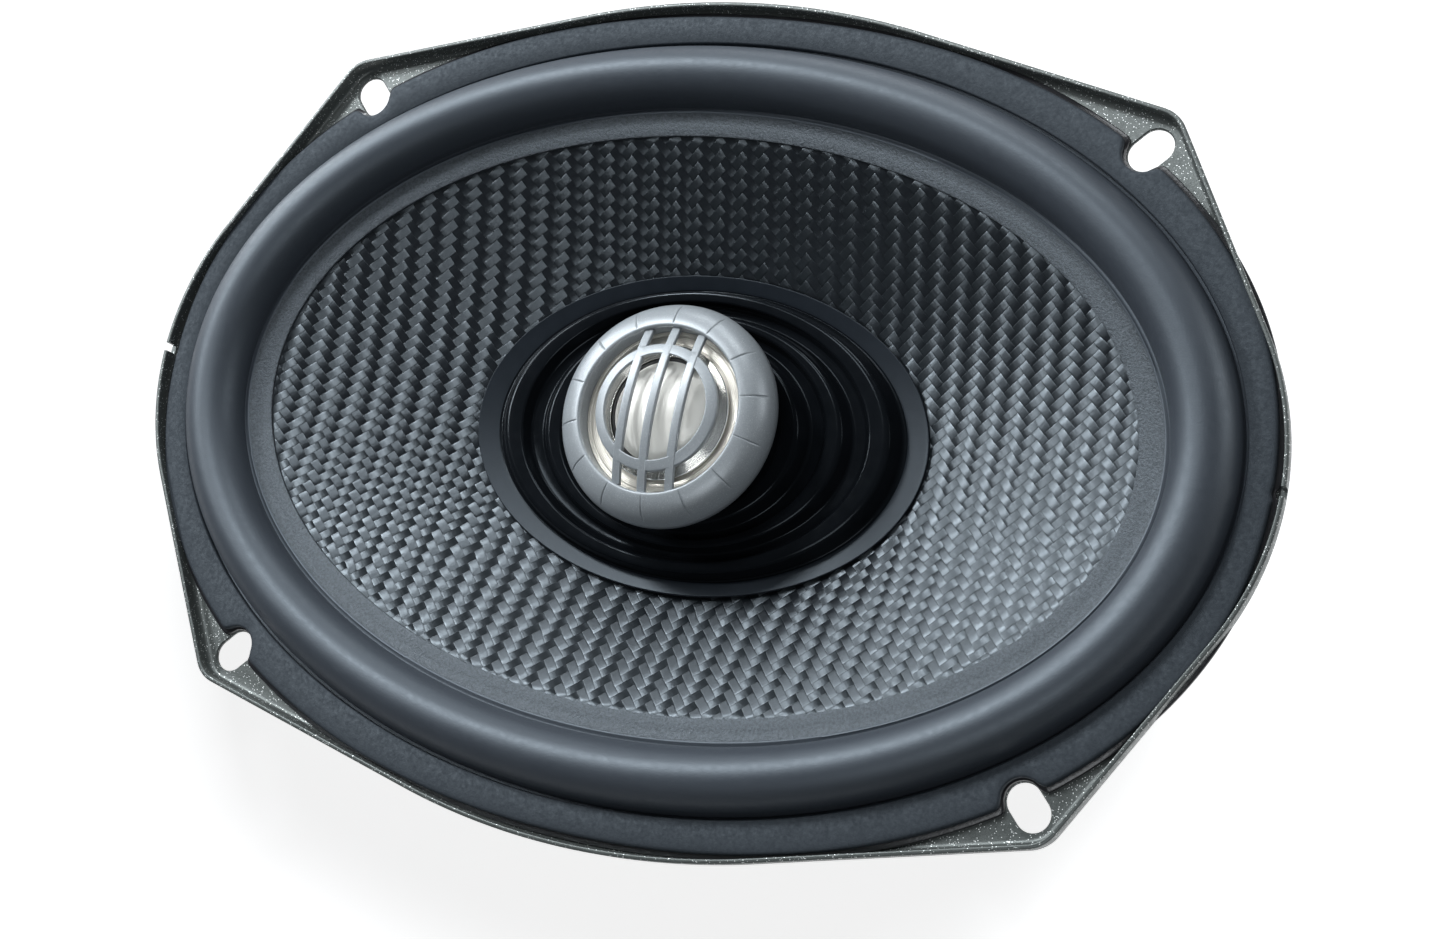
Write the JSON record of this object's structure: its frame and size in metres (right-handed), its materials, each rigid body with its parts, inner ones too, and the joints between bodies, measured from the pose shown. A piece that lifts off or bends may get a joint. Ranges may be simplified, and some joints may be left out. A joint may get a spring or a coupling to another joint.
{
  "type": "coaxial car speaker",
  "caption": "Oval two-way coaxial car speaker with stamped frame, woven cone, rubber surround, centre post tweeter and ferrite motor.",
  "frame": {"origin": "centre of the flange's back face, the plane that seats on the mounting panel", "axes": "+X along the oval's long axis, +Y along its short axis, +Z out of the front towards the listener"},
  "size_m": [0.236, 0.1686, 0.087],
  "materials": {
    "frame_steel": "grey-green metallic paint, satin, fine sparkle",
    "gasket": "matte foam rubber",
    "surround_rubber": "satin moulded rubber",
    "cone_weave": "woven cone with a satin resin finish",
    "ring_gloss": "gloss black",
    "former": "satin",
    "copper": "enamelled copper wire",
    "spider_cloth": "resin-treated cotton",
    "plated_steel": "zinc plated",
    "ferrite": "matte ceramic",
    "boot_rubber": "matte moulded rubber",
    "post_plastic": "matte moulded plastic",
    "bezel_paint": "blue-grey satin paint",
    "champagne": "champagne anodised",
    "polished": "polished, finely grooved",
    "dome_metal": "satin silver",
    "tweeter_cloth": "coated cloth",
    "felt": "felt",
    "board": "hardboard laminate",
    "tin": "tin plated",
    "cap_sleeve": "shrink sleeve",
    "lead_insulation": "insulated wire",
    "tinsel": "braided copper"
  },
  "bodies": {
    "frame": {"basket": "frame_steel", "front_gasket": "gasket", "surround": "surround_rubber", "spider": "spider_cloth", "top_plate": "plated_steel", "motor_rivets": "plated_steel", "ring_magnet": "ferrite", "yoke": "plated_steel", "magnet_boot": "boot_rubber", "post_washer": "plated_steel", "post_bolt": "plated_steel", "tweeter_post": "post_plastic", "tweeter_housing": "post_plastic", "tweeter_bezel": "bezel_paint", "tweeter_guard": "bezel_paint", "tweeter_faceplate": "champagne", "tweeter_trim_ring": "polished", "tweeter_suspension": "tweeter_cloth", "tweeter_cup": "plated_steel", "tweeter_magnet": "plated_steel", "tweeter_pole_cap": "plated_steel", "tweeter_felt": "felt", "terminal_board": "board", "terminal_rivets": "tin", "positive_tab": "tin", "negative_tab": "tin", "crossover_capacitor": "cap_sleeve", "capacitor_leads": "tin", "tweeter_leads": "lead_insulation", "tinsel_leads": "tinsel"},
    "cone_assembly": {"cone": "cone_weave", "centre_ring": "ring_gloss", "coil_former": "former", "voice_coil": "copper", "tinsel_eyelets": "tin"},
    "tweeter_diaphragm": {"tweeter_dome": "dome_metal", "tweeter_coil_former": "former", "tweeter_coil": "copper"}
  },
  "joints": [
    {"name": "cone_stroke", "type": "slide", "parent": "frame", "child": "cone_assembly", "axis": [0, 0, 1], "range_m": [-0.005, 0.005], "stiffness_N_per_m": 2600, "deforming": ["surround", "spider", "tinsel_leads"]},
    {"name": "tweeter_stroke", "type": "slide", "parent": "frame", "child": "tweeter_diaphragm", "axis": [0, 0, 1], "range_m": [-0.0003, 0.0003], "stiffness_N_per_m": 2000, "deforming": ["tweeter_suspension"]}
  ]
}
